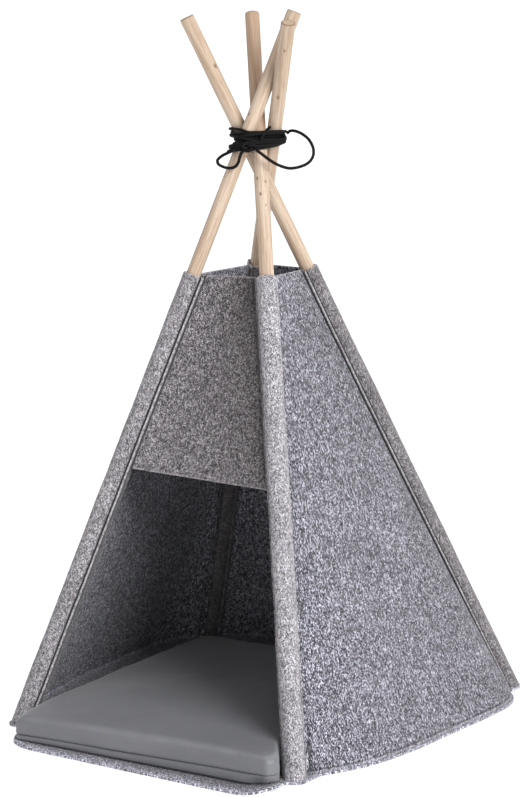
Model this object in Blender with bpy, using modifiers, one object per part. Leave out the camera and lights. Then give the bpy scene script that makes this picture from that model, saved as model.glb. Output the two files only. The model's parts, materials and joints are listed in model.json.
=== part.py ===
"""Pet teepee tent: four lashed dowels in felt sleeves, felt walls and floor, and a loose cushion.

Metres, +Z up. The origin is on the floor, under the middle of the base, and the entrance faces -Y.
Each dowel slides up along its own axis out of its sleeve, and the cushion slides out of the entrance.
"""
import math

import bmesh
import bpy
from mathutils import Matrix, Vector

# Frame: where each dowel's axis meets the floor, and where it passes through the lashing.
FRONT_HALF_SPACING = 0.183
BACK_HALF_SPACING = 0.2134
FRONT_FEET_Y = -0.1875
BACK_FEET_Y = 0.2125
LASHING_HEIGHT = 0.640
FEET = {
    "front_left": Vector((-FRONT_HALF_SPACING, FRONT_FEET_Y, 0)),
    "front_right": Vector((FRONT_HALF_SPACING, FRONT_FEET_Y, 0)),
    "back_right": Vector((BACK_HALF_SPACING, BACK_FEET_Y, 0)),
    "back_left": Vector((-BACK_HALF_SPACING, BACK_FEET_Y, 0)),
}
# The dowels lean past each other in a tight bundle, a little over one diameter apart.
CROSSINGS = {
    "front_left": Vector((0.0048, 0.0035, LASHING_HEIGHT)),
    "front_right": Vector((0.0098, 0.0207, LASHING_HEIGHT)),
    "back_right": Vector((-0.0080, 0.0173, LASHING_HEIGHT)),
    "back_left": Vector((0.0190, 0.0357, LASHING_HEIGHT)),
}
DOWEL_REACH = {"front_left": 0.838, "front_right": 0.838, "back_right": 0.847, "back_left": 0.838}
DOWEL_RADIUS = 0.008
DOWEL_ROUNDING = 0.0012

GAP = 0.0003
FELT = 0.0025
SLEEVE_RADIUS = DOWEL_RADIUS + 2 * GAP
SLEEVE_OUTER_RADIUS = SLEEVE_RADIUS + FELT
FELT_TOP = 0.4926
FLOOR_TOP = FELT
VALANCE_BOTTOM = 0.2815
WALL_MARGIN = 0.0130
WALL_BULGE = 0.0475
LIP_BULGE = 0.0725
FLOOR_HEM = 0.0025
FLOOR_CORNER_RADIUS = 0.0130
CORNERS = ["front_left", "front_right", "back_right", "back_left"]
WALLS = [
    ("right", "front_right", "back_right"),
    ("back", "back_right", "back_left"),
    ("left", "back_left", "front_left"),
]

CUSHION_WIDTH = 0.320
CUSHION_FRONT = -0.243
CUSHION_BACK = 0.125
CUSHION_THICKNESS = 0.040
CUSHION_SEAM = 0.013
CUSHION_CORNER = 0.030
CUSHION_EDGE = 0.013
COVER_CLOTH = 0.0008

CORD_RADIUS = 0.0016
WRAP_LOW = 0.6255
WRAP_HIGH = 0.6487
# The bow faces the front right. Its routes are millimetres (right, up from the floor, towards the front).
BOW_RIGHT = Vector((0.822, 0.569, 0))
BOW_FRONT = Vector((0.569, -0.822, 0))
RIGHT_LOOP = [
    (50, 642, -12), (55, 645.5, -9), (64, 643.5, -4), (73, 637, 1), (78, 628, 5), (78, 619, 8),
    (73, 612, 11), (64, 608, 13), (54, 606.5, 15), (46, 608, 16), (37, 612, 17), (29, 617.5, 17.5),
    (22, 623, 17),
]
LEFT_LOOP = [
    (-5.5, 628, 17), (-14, 624.5, 16), (-21, 621, 15), (-25.5, 616.5, 14.5), (-24, 612, 14.5),
    (-18, 609, 15), (-12, 608, 15.5), (-6.5, 609.5, 16), (-3, 614, 16.5), (-1.5, 619, 17), (0.5, 624, 17),
]
TAIL = [(26, 641, 6.8), (26.2, 646, 6.8), (26.6, 651, 6.8), (27.4, 656, 6.8)]
KNOT_CENTRE = (8.5, 630, 17.2)
KNOT_RADII = (10.0, 5.0, 4.2)

WOOD = (0.80, 0.66, 0.50)
WALL_FELT = (0.29, 0.30, 0.33)
SLEEVE_FELT = (0.40, 0.39, 0.40)
CUSHION_CLOTH = (0.16, 0.165, 0.17)
FOAM = (0.75, 0.73, 0.66)
CORD = (0.012, 0.012, 0.013)


def clear_scene():
    for item in list(bpy.data.objects):
        bpy.data.objects.remove(item, do_unlink=True)


def collection(name):
    made = bpy.data.collections.new(name)
    bpy.context.scene.collection.children.link(made)
    return made


def material(name, colour, roughness):
    made = bpy.data.materials.new(name)
    made.use_nodes = True
    shader = made.node_tree.nodes["Principled BSDF"]
    shader.inputs["Base Color"].default_value = (*colour, 1)
    shader.inputs["Roughness"].default_value = roughness
    shader.inputs["Metallic"].default_value = 0
    made.diffuse_color = (*colour, 1)
    return made


def add_mesh(name, mesh, into, look):
    made = bpy.data.objects.new(name, mesh)
    into.objects.link(made)
    if look:
        mesh.materials.append(look)
    return made


def mesh_from(shape, name):
    mesh = bpy.data.meshes.new(name)
    shape.to_mesh(mesh)
    shape.free()
    return mesh


def axis_of(corner):
    """The direction of a dowel, from its foot up."""
    return (CROSSINGS[corner] - FEET[corner]).normalized()


def point_on_axis(corner, height):
    direction = axis_of(corner)
    return FEET[corner] + direction * (height / direction.z)


def foot_of(corner):
    """The centre of a dowel's lower end, where its rim just clears the floor panel."""
    direction = axis_of(corner)
    tilt = math.sqrt(1 - direction.z**2)
    return point_on_axis(corner, FLOOR_TOP + GAP + DOWEL_RADIUS * tilt)


def stand_on_axis(item, corner, centre):
    item.location = centre
    item.rotation_mode = "QUATERNION"
    item.rotation_quaternion = Vector((0, 0, 1)).rotation_difference(axis_of(corner))


def make_dowel(corner, into, look):
    centre = foot_of(corner)
    length = DOWEL_REACH[corner] - (centre - FEET[corner]).length
    shape = bmesh.new()
    bmesh.ops.create_cone(
        shape, cap_ends=True, segments=20, radius1=DOWEL_RADIUS, radius2=DOWEL_RADIUS, depth=length
    )
    bmesh.ops.translate(shape, verts=shape.verts, vec=(0, 0, length / 2))
    dowel = add_mesh("pole_" + corner, mesh_from(shape, "pole_" + corner), into, look)
    stand_on_axis(dowel, corner, centre)
    rounding = dowel.modifiers.new("rounded ends", "BEVEL")
    rounding.width = DOWEL_ROUNDING
    rounding.segments = 2
    rounding.limit_method = "ANGLE"
    rounding.angle_limit = math.radians(60)
    dowel.data.shade_smooth()
    dowel.data.set_sharp_from_angle(angle=math.radians(40))


def cut_level(item, ground):
    cut = item.modifiers.new("level foot", "BOOLEAN")
    cut.operation = "DIFFERENCE"
    cut.object = ground


def make_sleeve(corner, into, look, ground):
    """A felt tube round the dowel, cut square at the top and level at the floor."""
    low = -0.02
    high = (point_on_axis(corner, FELT_TOP) - FEET[corner]).length
    shape = bmesh.new()
    bmesh.ops.create_cone(
        shape, cap_ends=False, segments=20, radius1=SLEEVE_RADIUS, radius2=SLEEVE_RADIUS, depth=high - low
    )
    bmesh.ops.translate(shape, verts=shape.verts, vec=(0, 0, (high + low) / 2))
    sleeve = add_mesh("sleeve_" + corner, mesh_from(shape, "sleeve_" + corner), into, look)
    stand_on_axis(sleeve, corner, FEET[corner])
    wall = sleeve.modifiers.new("felt", "SOLIDIFY")
    wall.thickness = FELT
    wall.offset = 1
    cut_level(sleeve, ground)
    sleeve.data.shade_smooth()
    sleeve.data.set_sharp_from_angle(angle=math.radians(40))


def swell(across, power):
    """How far a panel's lower edge stands out, from 0 at both sleeves to 1 at the middle."""
    return 1 - abs(2 * across - 1) ** power


def make_panel(name, left, right, low, bulge, into, look, columns, rows):
    """A felt panel between two sleeves, which stands out by the bulge at its lower edge."""
    shape = bmesh.new()
    bmesh.ops.create_grid(shape, x_segments=columns, y_segments=rows, size=0.5)
    for vertex in shape.verts:
        across, up = vertex.co.x + 0.5, vertex.co.y + 0.5
        height = low + (FELT_TOP - low) * up
        start, end = point_on_axis(left, height), point_on_axis(right, height)
        along = (end - start).normalized()
        outward = Vector((along.y, -along.x, 0))
        start, end = start + along * WALL_MARGIN, end - along * WALL_MARGIN
        vertex.co = start.lerp(end, across) + outward * (bulge * swell(across, 4) * (1 - up) ** 2)
    bmesh.ops.recalc_face_normals(shape, faces=shape.faces)
    panel = add_mesh(name, mesh_from(shape, name), into, look)
    thickness = panel.modifiers.new("felt", "SOLIDIFY")
    thickness.thickness = FELT
    thickness.offset = 0
    panel.data.shade_smooth()
    panel.data.set_sharp_from_angle(angle=math.radians(40))
    return panel


def floor_outline():
    """The floor panel's edge: an arc round each foot, and a full curve along each side."""
    points = []
    for index, corner in enumerate(CORNERS):
        before, after = CORNERS[index - 1], CORNERS[(index + 1) % 4]
        arriving = (FEET[corner] - FEET[before]).normalized()
        leaving = (FEET[after] - FEET[corner]).normalized()
        start_angle = math.atan2(-arriving.x, arriving.y)
        turn = arriving.xy.angle_signed(leaving.xy)
        for step in range(7):
            angle = start_angle - turn * step / 6
            reach = Vector((math.cos(angle), math.sin(angle), 0)) * FLOOR_CORNER_RADIUS
            points.append(FEET[corner] + reach)
        outward = Vector((leaving.y, -leaving.x, 0))
        start, end = FEET[corner] + leaving * WALL_MARGIN, FEET[after] - leaving * WALL_MARGIN
        front = corner == "front_left"
        bulge, power = (LIP_BULGE, 8) if front else (WALL_BULGE, 4)
        for step in range(1, 24):
            across = (1 - math.cos(math.pi * step / 24)) / 2
            reach = max(FLOOR_CORNER_RADIUS, FLOOR_HEM + bulge * swell(across, power))
            points.append(start.lerp(end, across) + outward * reach)
    return points


def make_floor(into, look):
    outline = bpy.data.curves.new("floor_panel", "CURVE")
    outline.dimensions = "2D"
    outline.fill_mode = "BOTH"
    outline.extrude = FELT / 2
    spline = outline.splines.new("POLY")
    points = floor_outline()
    spline.points.add(len(points) - 1)
    for target, point in zip(spline.points, points):
        target.co = (point.x, point.y, 0, 1)
    spline.use_cyclic_u = True
    outline.materials.append(look)
    panel = bpy.data.objects.new("floor_panel", outline)
    panel.location = (0, 0, FELT / 2)
    into.objects.link(panel)


def cushion_block(inset, low, high, top_radius, bottom_radius):
    """A slab with round corners and rounded top and bottom edges."""
    shape = bmesh.new()
    bmesh.ops.create_cube(shape, size=1)
    size = (CUSHION_WIDTH - 2 * inset, CUSHION_BACK - CUSHION_FRONT - 2 * inset, high - low)
    middle = (0, (CUSHION_FRONT + CUSHION_BACK) / 2, (high + low) / 2)
    bmesh.ops.scale(shape, verts=shape.verts, vec=size)
    bmesh.ops.translate(shape, verts=shape.verts, vec=middle)
    upright = [edge for edge in shape.edges if abs(edge.verts[0].co.z - edge.verts[1].co.z) > 0.001]
    bmesh.ops.bevel(
        shape, geom=upright, offset=CUSHION_CORNER - inset, segments=6, profile=0.5, affect="EDGES"
    )
    for level, radius in ((high, top_radius), (low, bottom_radius)):
        rim = [edge for edge in shape.edges if all(abs(v.co.z - level) < 1e-6 for v in edge.verts)]
        if radius:
            bmesh.ops.bevel(shape, geom=rim, offset=radius, segments=4, profile=0.5, affect="EDGES")
    return shape


def drop_level_faces(shape, level):
    flat = [face for face in shape.faces if all(abs(v.co.z - level) < 1e-6 for v in face.verts)]
    bmesh.ops.delete(shape, geom=flat, context="FACES")


def make_cushion(into, cloth, foam):
    base = FLOOR_TOP + GAP
    seam = base + CUSHION_SEAM
    top = base + CUSHION_THICKNESS
    upper = cushion_block(COVER_CLOTH, seam + GAP / 2, top - COVER_CLOTH, CUSHION_EDGE, 0)
    drop_level_faces(upper, seam + GAP / 2)
    lower = cushion_block(COVER_CLOTH, base + COVER_CLOTH, seam - GAP / 2, 0, CUSHION_EDGE / 2)
    drop_level_faces(lower, seam - GAP / 2)
    for name, shape in (("cushion_cover_top", upper), ("cushion_cover_bottom", lower)):
        cover = add_mesh(name, mesh_from(shape, name), into, cloth)
        skin = cover.modifiers.new("cloth", "SOLIDIFY")
        skin.thickness = COVER_CLOTH
        skin.offset = 1
        cover.data.shade_smooth()
    inner = COVER_CLOTH + GAP
    core = cushion_block(inner, base + inner, top - inner, CUSHION_EDGE, CUSHION_EDGE / 2)
    add_mesh("cushion_foam", mesh_from(core, "cushion_foam"), into, foam).data.shade_smooth()


def bundle_support(height, angle):
    """How far the four dowels reach from the Z axis at a height, in a level direction."""
    direction = Vector((math.cos(angle), math.sin(angle), 0))
    reaches = []
    for corner in CORNERS:
        axis = axis_of(corner)
        lean = Vector((axis.x, axis.y, 0)).normalized()
        stretch = (DOWEL_RADIUS / axis.z) ** 2 - DOWEL_RADIUS**2
        oval = math.sqrt(DOWEL_RADIUS**2 + stretch * lean.dot(direction) ** 2)
        reaches.append(point_on_axis(corner, height).dot(direction) + oval)
    return max(reaches)


def bundle_outline(height, spare, sides):
    """The corners of a loop pulled tight round the dowels, with some spare room."""
    corners = []
    step = 2 * math.pi / sides
    for index in range(sides):
        first, second = index * step, (index + 1) * step
        reach_one = bundle_support(height, first) + spare
        reach_two = bundle_support(height, second) + spare
        x = (reach_one * math.sin(second) - reach_two * math.sin(first)) / math.sin(step)
        y = (reach_two * math.cos(first) - reach_one * math.cos(second)) / math.sin(step)
        corners.append(Vector((x, y, height)))
    return corners


def make_wraps(into, look):
    """The turns of the lashing as one band, lofted up the bundle, whose section changes."""
    levels, sides = 4, 32
    shape = bmesh.new()
    rings = []
    for level in range(levels):
        height = WRAP_LOW + (WRAP_HIGH - WRAP_LOW) * level / (levels - 1)
        rings.append([shape.verts.new(corner) for corner in bundle_outline(height, GAP, sides)])
    for lower, upper in zip(rings, rings[1:]):
        for index in range(sides):
            after = (index + 1) % sides
            shape.faces.new((lower[index], lower[after], upper[after], upper[index]))
    band = add_mesh("lash_wraps", mesh_from(shape, "lash_wraps"), into, look)
    thickness = band.modifiers.new("cord", "SOLIDIFY")
    thickness.thickness = 2 * CORD_RADIUS
    thickness.offset = 1
    band.data.shade_smooth()


def bow_point(place):
    right, up, front = (value / 1000 for value in place)
    return BOW_RIGHT * right + BOW_FRONT * front + Vector((0, 0, up))


def smooth_route(places, steps):
    """Points along a Catmull-Rom curve through the route's own points."""
    points = [bow_point(place) for place in places]
    ends = [points[0] * 2 - points[1], *points, points[-1] * 2 - points[-2]]
    route = []
    for index in range(len(points) - 1):
        before, start, end, after = ends[index : index + 4]
        for step in range(steps):
            t = step / steps
            bend = start * 2 + (end - before) * t
            bend += (before * 2 - start * 5 + end * 4 - after) * t**2
            bend += (start * 3 - before - end * 3 + after) * t**3
            route.append(bend / 2)
    return [*route, points[-1]]


def make_cord(name, places, into, look):
    curve = bpy.data.curves.new(name, "CURVE")
    curve.dimensions = "3D"
    curve.bevel_depth = CORD_RADIUS
    curve.bevel_resolution = 2
    curve.use_fill_caps = True
    spline = curve.splines.new("POLY")
    route = smooth_route(places, 2)
    spline.points.add(len(route) - 1)
    for target, point in zip(spline.points, route):
        target.co = (*point, 1)
    curve.materials.append(look)
    into.objects.link(bpy.data.objects.new(name, curve))


def make_knot(into, look):
    shape = bmesh.new()
    bmesh.ops.create_uvsphere(shape, u_segments=16, v_segments=10, radius=0.001)
    bmesh.ops.scale(shape, verts=shape.verts, vec=(KNOT_RADII[0], KNOT_RADII[2], KNOT_RADII[1]))
    turn = Matrix((BOW_RIGHT, BOW_FRONT * -1, Vector((0, 0, 1)))).transposed()
    bmesh.ops.rotate(shape, verts=shape.verts, matrix=turn)
    knot = add_mesh("lash_knot", mesh_from(shape, "lash_knot"), into, look)
    knot.location = bow_point(KNOT_CENTRE)
    knot.data.shade_smooth()


def make_ground_cutter(into):
    """Everything below the level feet of the sleeves."""
    shape = bmesh.new()
    bmesh.ops.create_cube(shape, size=1)
    depth = 0.1
    bmesh.ops.translate(shape, verts=shape.verts, vec=(0, 0, FLOOR_TOP + GAP - depth / 2))
    for vertex in shape.verts:
        vertex.co.z = FLOOR_TOP + GAP if vertex.co.z > FLOOR_TOP + GAP - depth / 2 else -depth
    cutter = add_mesh("ground_cutter", mesh_from(shape, "ground_cutter"), into, None)
    cutter.hide_render = True
    cutter.display_type = "WIRE"
    return cutter


def main():
    clear_scene()
    parts = collection("teepee_tent")
    cutters = collection("cutters")
    wood = material("birch_dowel", WOOD, 0.6)
    wall_felt = material("wall_felt", WALL_FELT, 0.95)
    sleeve_felt = material("sleeve_felt", SLEEVE_FELT, 0.95)
    cushion_cloth = material("cushion_cloth", CUSHION_CLOTH, 0.7)
    foam = material("cushion_foam", FOAM, 0.9)
    cord = material("elastic_cord", CORD, 0.7)

    ground = make_ground_cutter(cutters)
    for corner in CORNERS:
        make_dowel(corner, parts, wood)
        make_sleeve(corner, parts, sleeve_felt, ground)
    for side, left, right in WALLS:
        wall = make_panel("wall_" + side, left, right, 0, WALL_BULGE, parts, wall_felt, 12, 8)
        cut_level(wall, ground)
    make_panel("valance_front", "front_left", "front_right", VALANCE_BOTTOM, 0, parts, wall_felt, 3, 3)
    make_floor(parts, wall_felt)
    make_cushion(parts, cushion_cloth, foam)
    make_wraps(parts, cord)
    make_knot(parts, cord)
    make_cord("lash_loop_right", RIGHT_LOOP, parts, cord)
    make_cord("lash_loop_left", LEFT_LOOP, parts, cord)
    make_cord("lash_tail", TAIL, parts, cord)


main()
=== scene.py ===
"""Pet teepee tent: the looks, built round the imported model's frame.

Metres, +Z up, entrance towards -Y, as in the CAD. Every felt piece follows the dowels' axes,
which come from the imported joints.
"""
import json
from math import atan2, cos, exp, hypot, pi, radians, sin, sqrt

import bpy
import numpy as np
from mathutils import Matrix, Vector, noise


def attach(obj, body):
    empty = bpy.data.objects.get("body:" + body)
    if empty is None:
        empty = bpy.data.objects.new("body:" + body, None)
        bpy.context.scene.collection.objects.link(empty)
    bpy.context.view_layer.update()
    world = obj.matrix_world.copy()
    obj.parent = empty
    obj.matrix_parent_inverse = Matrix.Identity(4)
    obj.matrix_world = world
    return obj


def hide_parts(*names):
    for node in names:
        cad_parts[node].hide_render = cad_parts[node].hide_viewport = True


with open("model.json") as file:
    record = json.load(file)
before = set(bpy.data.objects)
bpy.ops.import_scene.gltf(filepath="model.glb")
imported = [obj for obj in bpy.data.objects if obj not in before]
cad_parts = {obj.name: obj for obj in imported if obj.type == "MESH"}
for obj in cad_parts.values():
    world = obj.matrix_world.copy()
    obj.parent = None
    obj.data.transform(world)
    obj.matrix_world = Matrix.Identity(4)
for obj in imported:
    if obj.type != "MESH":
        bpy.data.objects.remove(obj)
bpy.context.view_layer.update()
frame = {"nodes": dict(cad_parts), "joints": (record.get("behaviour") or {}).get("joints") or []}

TINY = 1e-9
CORNERS = ["front_left", "front_right", "back_right", "back_left"]

DOWEL_RADIUS = 0.008
CORD_RADIUS = 0.0017
FELT = 0.0025
SLEEVE_INNER = 0.0086
SLEEVE_OUTER = 0.0111
FELT_TOP = 0.4926
FELT_FOOT = 0.0028
VALANCE_BOTTOM = 0.2815

# From a dowel's axis to a panel's edge, and to the right wall's edge at the front right dowel.
WALL_MARGIN = 0.0130
NEAR_MARGIN = 0.0112

# How far the walls' lower edges and the floor's front lip bow out.
WALL_BULGE = 0.0420
LIP_BULGE = 0.0640

# How full each side's bow stays towards its first and last end, by the corner it starts from.
SWELL = {
    "front_left": (12, 24),
    "front_right": (3.2, 8),
    "back_right": (5, 5),
    "back_left": (8, 3.2),
}

# The corners each panel starts and ends at, and its lower edge's height, which is 0 for a wall.
PANELS = {
    "wall_right": ("front_right", "back_right", 0),
    "wall_back": ("back_right", "back_left", 0),
    "wall_left": ("back_left", "front_left", 0),
    "valance_front": ("front_left", "front_right", VALANCE_BOTTOM),
}


# ---- camera, light and stage

# (name, azimuth, elevation, strength, softness, link to the studio floor), in degrees.
SUNS = [
    ("key light", 15, 30, 3.2, 36, "EXCLUDE"),
    ("front fill", 62, 14, 0.34, 50, "EXCLUDE"),
    ("floor light", 18, 80, 2.5, 40, "INCLUDE"),
]

# (radius, height) of the studio floor's rings, which turn up into a backdrop.
SWEEP = [(1.0, 0), (4.5, 0), (5.2, 0.06), (5.9, 0.25), (6.5, 0.6), (7.0, 1.2), (7.2, 1.9)]
SWEEP_SIDES = 48


def add_object(name, data):
    made = bpy.data.objects.new(name, data)
    bpy.context.scene.collection.objects.link(made)
    return made


def add_camera():
    place = Vector((1.4662, -2.0867, 0.8019))
    target = Vector((0.0086, 0.0184, 0.3504))
    roll = radians(-1.12)
    back = (place - target).normalized()
    right = Vector((0, 0, 1)).cross(back).normalized()
    up = back.cross(right)
    turned_right = right * cos(roll) + up * sin(roll)
    turned_up = up * cos(roll) - right * sin(roll)
    turned = Matrix((turned_right, turned_up, back)).transposed().to_4x4()
    data = bpy.data.cameras.new("camera")
    data.lens = 105.9
    data.sensor_width = 36
    camera = add_object("camera", data)
    camera.matrix_world = Matrix.Translation(place) @ turned
    bpy.context.scene.camera = camera


def add_sun(name, azimuth, elevation, strength, softness):
    """Azimuth is measured from +X towards -Y, in degrees."""
    around, above = radians(azimuth), radians(elevation)
    level = cos(above)
    towards = Vector((level * cos(around), -level * sin(around), sin(above)))
    data = bpy.data.lights.new(name, "SUN")
    data.energy = strength
    data.angle = radians(softness)
    light = add_object(name, data)
    light.rotation_mode = "QUATERNION"
    light.rotation_quaternion = towards.to_track_quat("Z", "Y")
    return light


def link_light(light, item, state):
    """The light falls on this item alone ("INCLUDE"), or on everything else ("EXCLUDE")."""
    lit = bpy.data.collections.new(light.name + " falls on")
    lit.objects.link(item)
    lit.collection_objects[0].light_linking.link_state = state
    light.light_linking.receiver_collection = lit


def add_studio():
    add_camera()
    world = bpy.data.worlds.new("studio")
    world.use_nodes = True
    background = world.node_tree.nodes["Background"]
    background.inputs["Color"].default_value = (0.985, 0.975, 1, 1)
    background.inputs["Strength"].default_value = 0.43
    bpy.context.scene.world = world
    bpy.context.scene.view_settings.view_transform = "Standard"
    places = [(0, 0, 0)]
    for radius, rise in SWEEP:
        for step in range(SWEEP_SIDES):
            turn = 2 * pi * step / SWEEP_SIDES
            places.append((radius * cos(turn), radius * sin(turn), rise))
    faces = [(0, 1 + step, 1 + (step + 1) % SWEEP_SIDES) for step in range(SWEEP_SIDES)]
    faces += grid_faces(len(SWEEP), SWEEP_SIDES, 1, flip=True, wrap=True)
    floor = add_mesh("studio_floor", places, faces, studio_floor_material())
    for name, azimuth, elevation, strength, softness, state in SUNS:
        light = add_sun(name, azimuth, elevation, strength, softness)
        link_light(light, floor, state)


# ---- material helpers

class Look:
    """A material whose nodes are added one line each."""

    def __init__(self, name):
        self.material = bpy.data.materials.new(name)
        self.material.use_nodes = True
        self.tree = self.material.node_tree
        self.shader = self.tree.nodes["Principled BSDF"]

    def fill(self, socket, value):
        if isinstance(value, bpy.types.NodeSocket):
            self.tree.links.new(value, socket)
        elif socket.type == "RGBA":
            socket.default_value = (*value, 1)
        else:
            socket.default_value = value

    def node(self, kind, output, inputs, **settings):
        made = self.tree.nodes.new("ShaderNode" + kind)
        for key, value in settings.items():
            setattr(made, key, value)
        for key, value in inputs.items():
            self.fill(made.inputs[key], value)
        return made.outputs[output]

    def place(self):
        return self.node("TexCoord", "Object", {})

    def stretch(self, scale):
        return self.node("Mapping", "Vector", {"Vector": self.place(), "Scale": scale})

    def noise(self, vector, scale, detail=2, roughness=0.5, distortion=0.0):
        inputs = {"Vector": vector, "Scale": scale, "Detail": detail, "Roughness": roughness}
        return self.node("TexNoise", "Fac", {**inputs, "Distortion": distortion})

    def value(self, name, share=1):
        """A number from the mesh, times a share."""
        found = self.node("Attribute", "Fac", {}, attribute_name=name)
        return found if share == 1 else self.times(found, share)

    def maths(self, operation, first, second):
        return self.node("Math", "Value", {0: first, 1: second}, operation=operation)

    def times(self, first, second):
        return self.maths("MULTIPLY", first, second)

    def clamp(self, value, low, high, out_low=0.0, out_high=1.0):
        inputs = {"Value": value, "From Min": low, "From Max": high}
        return self.node("MapRange", "Result", {**inputs, "To Min": out_low, "To Max": out_high})

    def mix(self, factor, first, second, blend="MIX"):
        """The Mix node's colours are its inputs 6 and 7 and its output 2."""
        made = self.tree.nodes.new("ShaderNodeMix")
        made.data_type = "RGBA"
        made.blend_type = blend
        self.fill(made.inputs[0], factor)
        self.fill(made.inputs[6], first)
        self.fill(made.inputs[7], second)
        return made.outputs[2]

    def ramp(self, factor, stops):
        made = self.tree.nodes.new("ShaderNodeValToRGB")
        bar = made.color_ramp
        while len(bar.elements) < len(stops):
            bar.elements.new(0.5)
        for element, (position, colour) in zip(bar.elements, stops):
            element.position = position
            element.color = (*colour, 1)
        self.fill(made.inputs[0], factor)
        return made.outputs[0]

    def bump(self, height, strength, distance, under=None):
        inputs = {"Height": height, "Strength": strength, "Distance": distance}
        if under is not None:
            inputs["Normal"] = under
        return self.node("Bump", "Normal", inputs)

    def finish(self, colour, roughness, normal=None, **fixed):
        self.fill(self.shader.inputs["Base Color"], colour)
        self.fill(self.shader.inputs["Roughness"], roughness)
        if normal is not None:
            self.fill(self.shader.inputs["Normal"], normal)
        for key, value in fixed.items():
            self.fill(self.shader.inputs[key.replace("_", " ")], value)
        return self.material


def studio_floor_material():
    look = Look("studio_floor")
    colour = look.mix(look.noise(look.place(), 3.0), (0.93, 0.93, 0.93), (0.96, 0.96, 0.96))
    return look.finish(colour, 0.9)


# Where the felt's four tones lie along its noise, and the tones of each felt.
TONE_STOPS = (0.41, 0.47, 0.53, 0.595)
WALL_TONES = (
    (0.005, 0.0048, 0.0068), (0.046, 0.045, 0.055), (0.142, 0.140, 0.166), (0.60, 0.592, 0.672)
)
VALANCE_TONES = (
    (0.008, 0.007, 0.008), (0.062, 0.057, 0.063), (0.172, 0.160, 0.172), (0.56, 0.53, 0.555)
)
SLEEVE_TONES = (
    (0.060, 0.056, 0.062), (0.190, 0.181, 0.196), (0.320, 0.306, 0.328), (0.66, 0.642, 0.672)
)


def felt_material(name, tones, streak):
    """Needled felt: fibres in four tones over mottled patches, drawn out along Z by 1 / streak.

    The mesh gives painted shade and painted light, painted shade in creases and seams, and pale cut
    edges, partly a painted highlight.
    """
    look = Look(name)
    drawn = look.stretch((1, 1, streak))
    fibres = look.noise(drawn, 1120, detail=2, roughness=0.6, distortion=0.35)
    clumps = look.noise(drawn, 360, detail=2, roughness=0.55)
    mixed = look.maths("ADD", look.times(fibres, 0.74), look.times(clumps, 0.26))
    colour = look.ramp(mixed, list(zip(TONE_STOPS, tones)))
    patches = look.clamp(look.noise(look.place(), 22, detail=3), 0.3, 0.7, 0.90, 1.10)
    # Painted shade from the mesh, and painted light where its value is below 0; it takes away a
    # little more green and blue.
    painted_shade = look.value("painted_shade")
    red = look.maths("SUBTRACT", patches, painted_shade)
    green = look.maths("SUBTRACT", red, look.times(painted_shade, 0.035))
    blue = look.maths("SUBTRACT", red, look.times(painted_shade, 0.06))
    shaded = look.node("CombineColor", "Color", {0: red, 1: green, 2: blue})
    colour = look.mix(1.0, colour, shaded, "MULTIPLY")
    # Pale fibres at cut edges, partly a painted highlight.
    cut = look.times(look.value("cut"), look.clamp(mixed, 0.42, 0.56, 0.15, 0.75))
    colour = look.mix(cut, colour, tones[-1])
    # Painted shade, near black, in grooves, seams, tucks and stitch lines.
    colour = look.mix(look.value("painted_crease_shade", 0.95), colour, (0.012, 0.011, 0.012))
    fuzz = look.noise(drawn, 1500, detail=2, roughness=0.6)
    normal = look.bump(mixed, 1.0, 0.0019)
    normal = look.bump(fuzz, 0.35, 0.0005, normal)
    roughness = look.clamp(fibres, 0.35, 0.65, 0.98, 0.86)
    return look.finish(
        colour, roughness, normal, Sheen_Weight=0.18, Sheen_Roughness=0.6, Specular_IOR_Level=0.2
    )


def birch_material():
    """Sanded birch, its grain along each dowel's own Z.

    The mesh says where it has painted shade (darker, redder), a knot, end grain (end) or an end's
    rim.
    """
    look = Look("birch_dowel")
    grain = look.noise(look.stretch((1, 1, 0.035)), 420, detail=4, roughness=0.6, distortion=0.3)
    bands = look.noise(look.stretch((1, 1, 0.06)), 90, detail=2)
    pores = look.noise(look.stretch((1, 1, 0.08)), 1500, detail=1)
    colour = look.ramp(bands, [(0.35, (0.480, 0.370, 0.275)), (0.62, (0.615, 0.502, 0.398))])
    colour = look.mix(look.clamp(grain, 0.44, 0.64, 0.0, 0.75), colour, (0.36, 0.245, 0.160))
    # Painted shade: darker, redder wood where the mesh says so.
    colour = look.mix(look.value("painted_upper_shade"), colour, (0.30, 0.165, 0.09))
    colour = look.mix(look.clamp(pores, 0.64, 0.70, 0.0, 0.45), colour, (0.26, 0.165, 0.10))
    colour = look.mix(look.value("knot", 0.8), colour, (0.12, 0.060, 0.032))
    colour = look.mix(look.value("end", 0.55), colour, (0.46, 0.33, 0.22))
    colour = look.mix(look.value("rim", 0.7), colour, (0.17, 0.10, 0.06))
    normal = look.bump(grain, 0.25, 0.0004)
    normal = look.bump(pores, 0.2, 0.0002, normal)
    roughness = look.clamp(grain, 0.35, 0.65, 0.5, 0.66)
    return look.finish(colour, roughness, normal, Specular_IOR_Level=0.35)


def cord_material():
    """Braided black elastic: the mesh has the braid's relief, and this adds the single threads."""
    look = Look("elastic_cord")
    threads = look.noise(look.place(), 2600, detail=2, roughness=0.6)
    # Painted shade in the braid's hollows, lighter on its crests.
    colour = look.mix(look.value("braid"), (0.001, 0.001, 0.0011), (0.0045, 0.0045, 0.005))
    colour = look.mix(look.clamp(threads, 0.5, 0.75, 0.0, 0.3), colour, (0.014, 0.014, 0.015))
    roughness = look.clamp(threads, 0.3, 0.7, 0.8, 0.6)
    normal = look.bump(threads, 0.4, 0.0002)
    return look.finish(colour, roughness, normal, Specular_IOR_Level=0.16)


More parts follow.
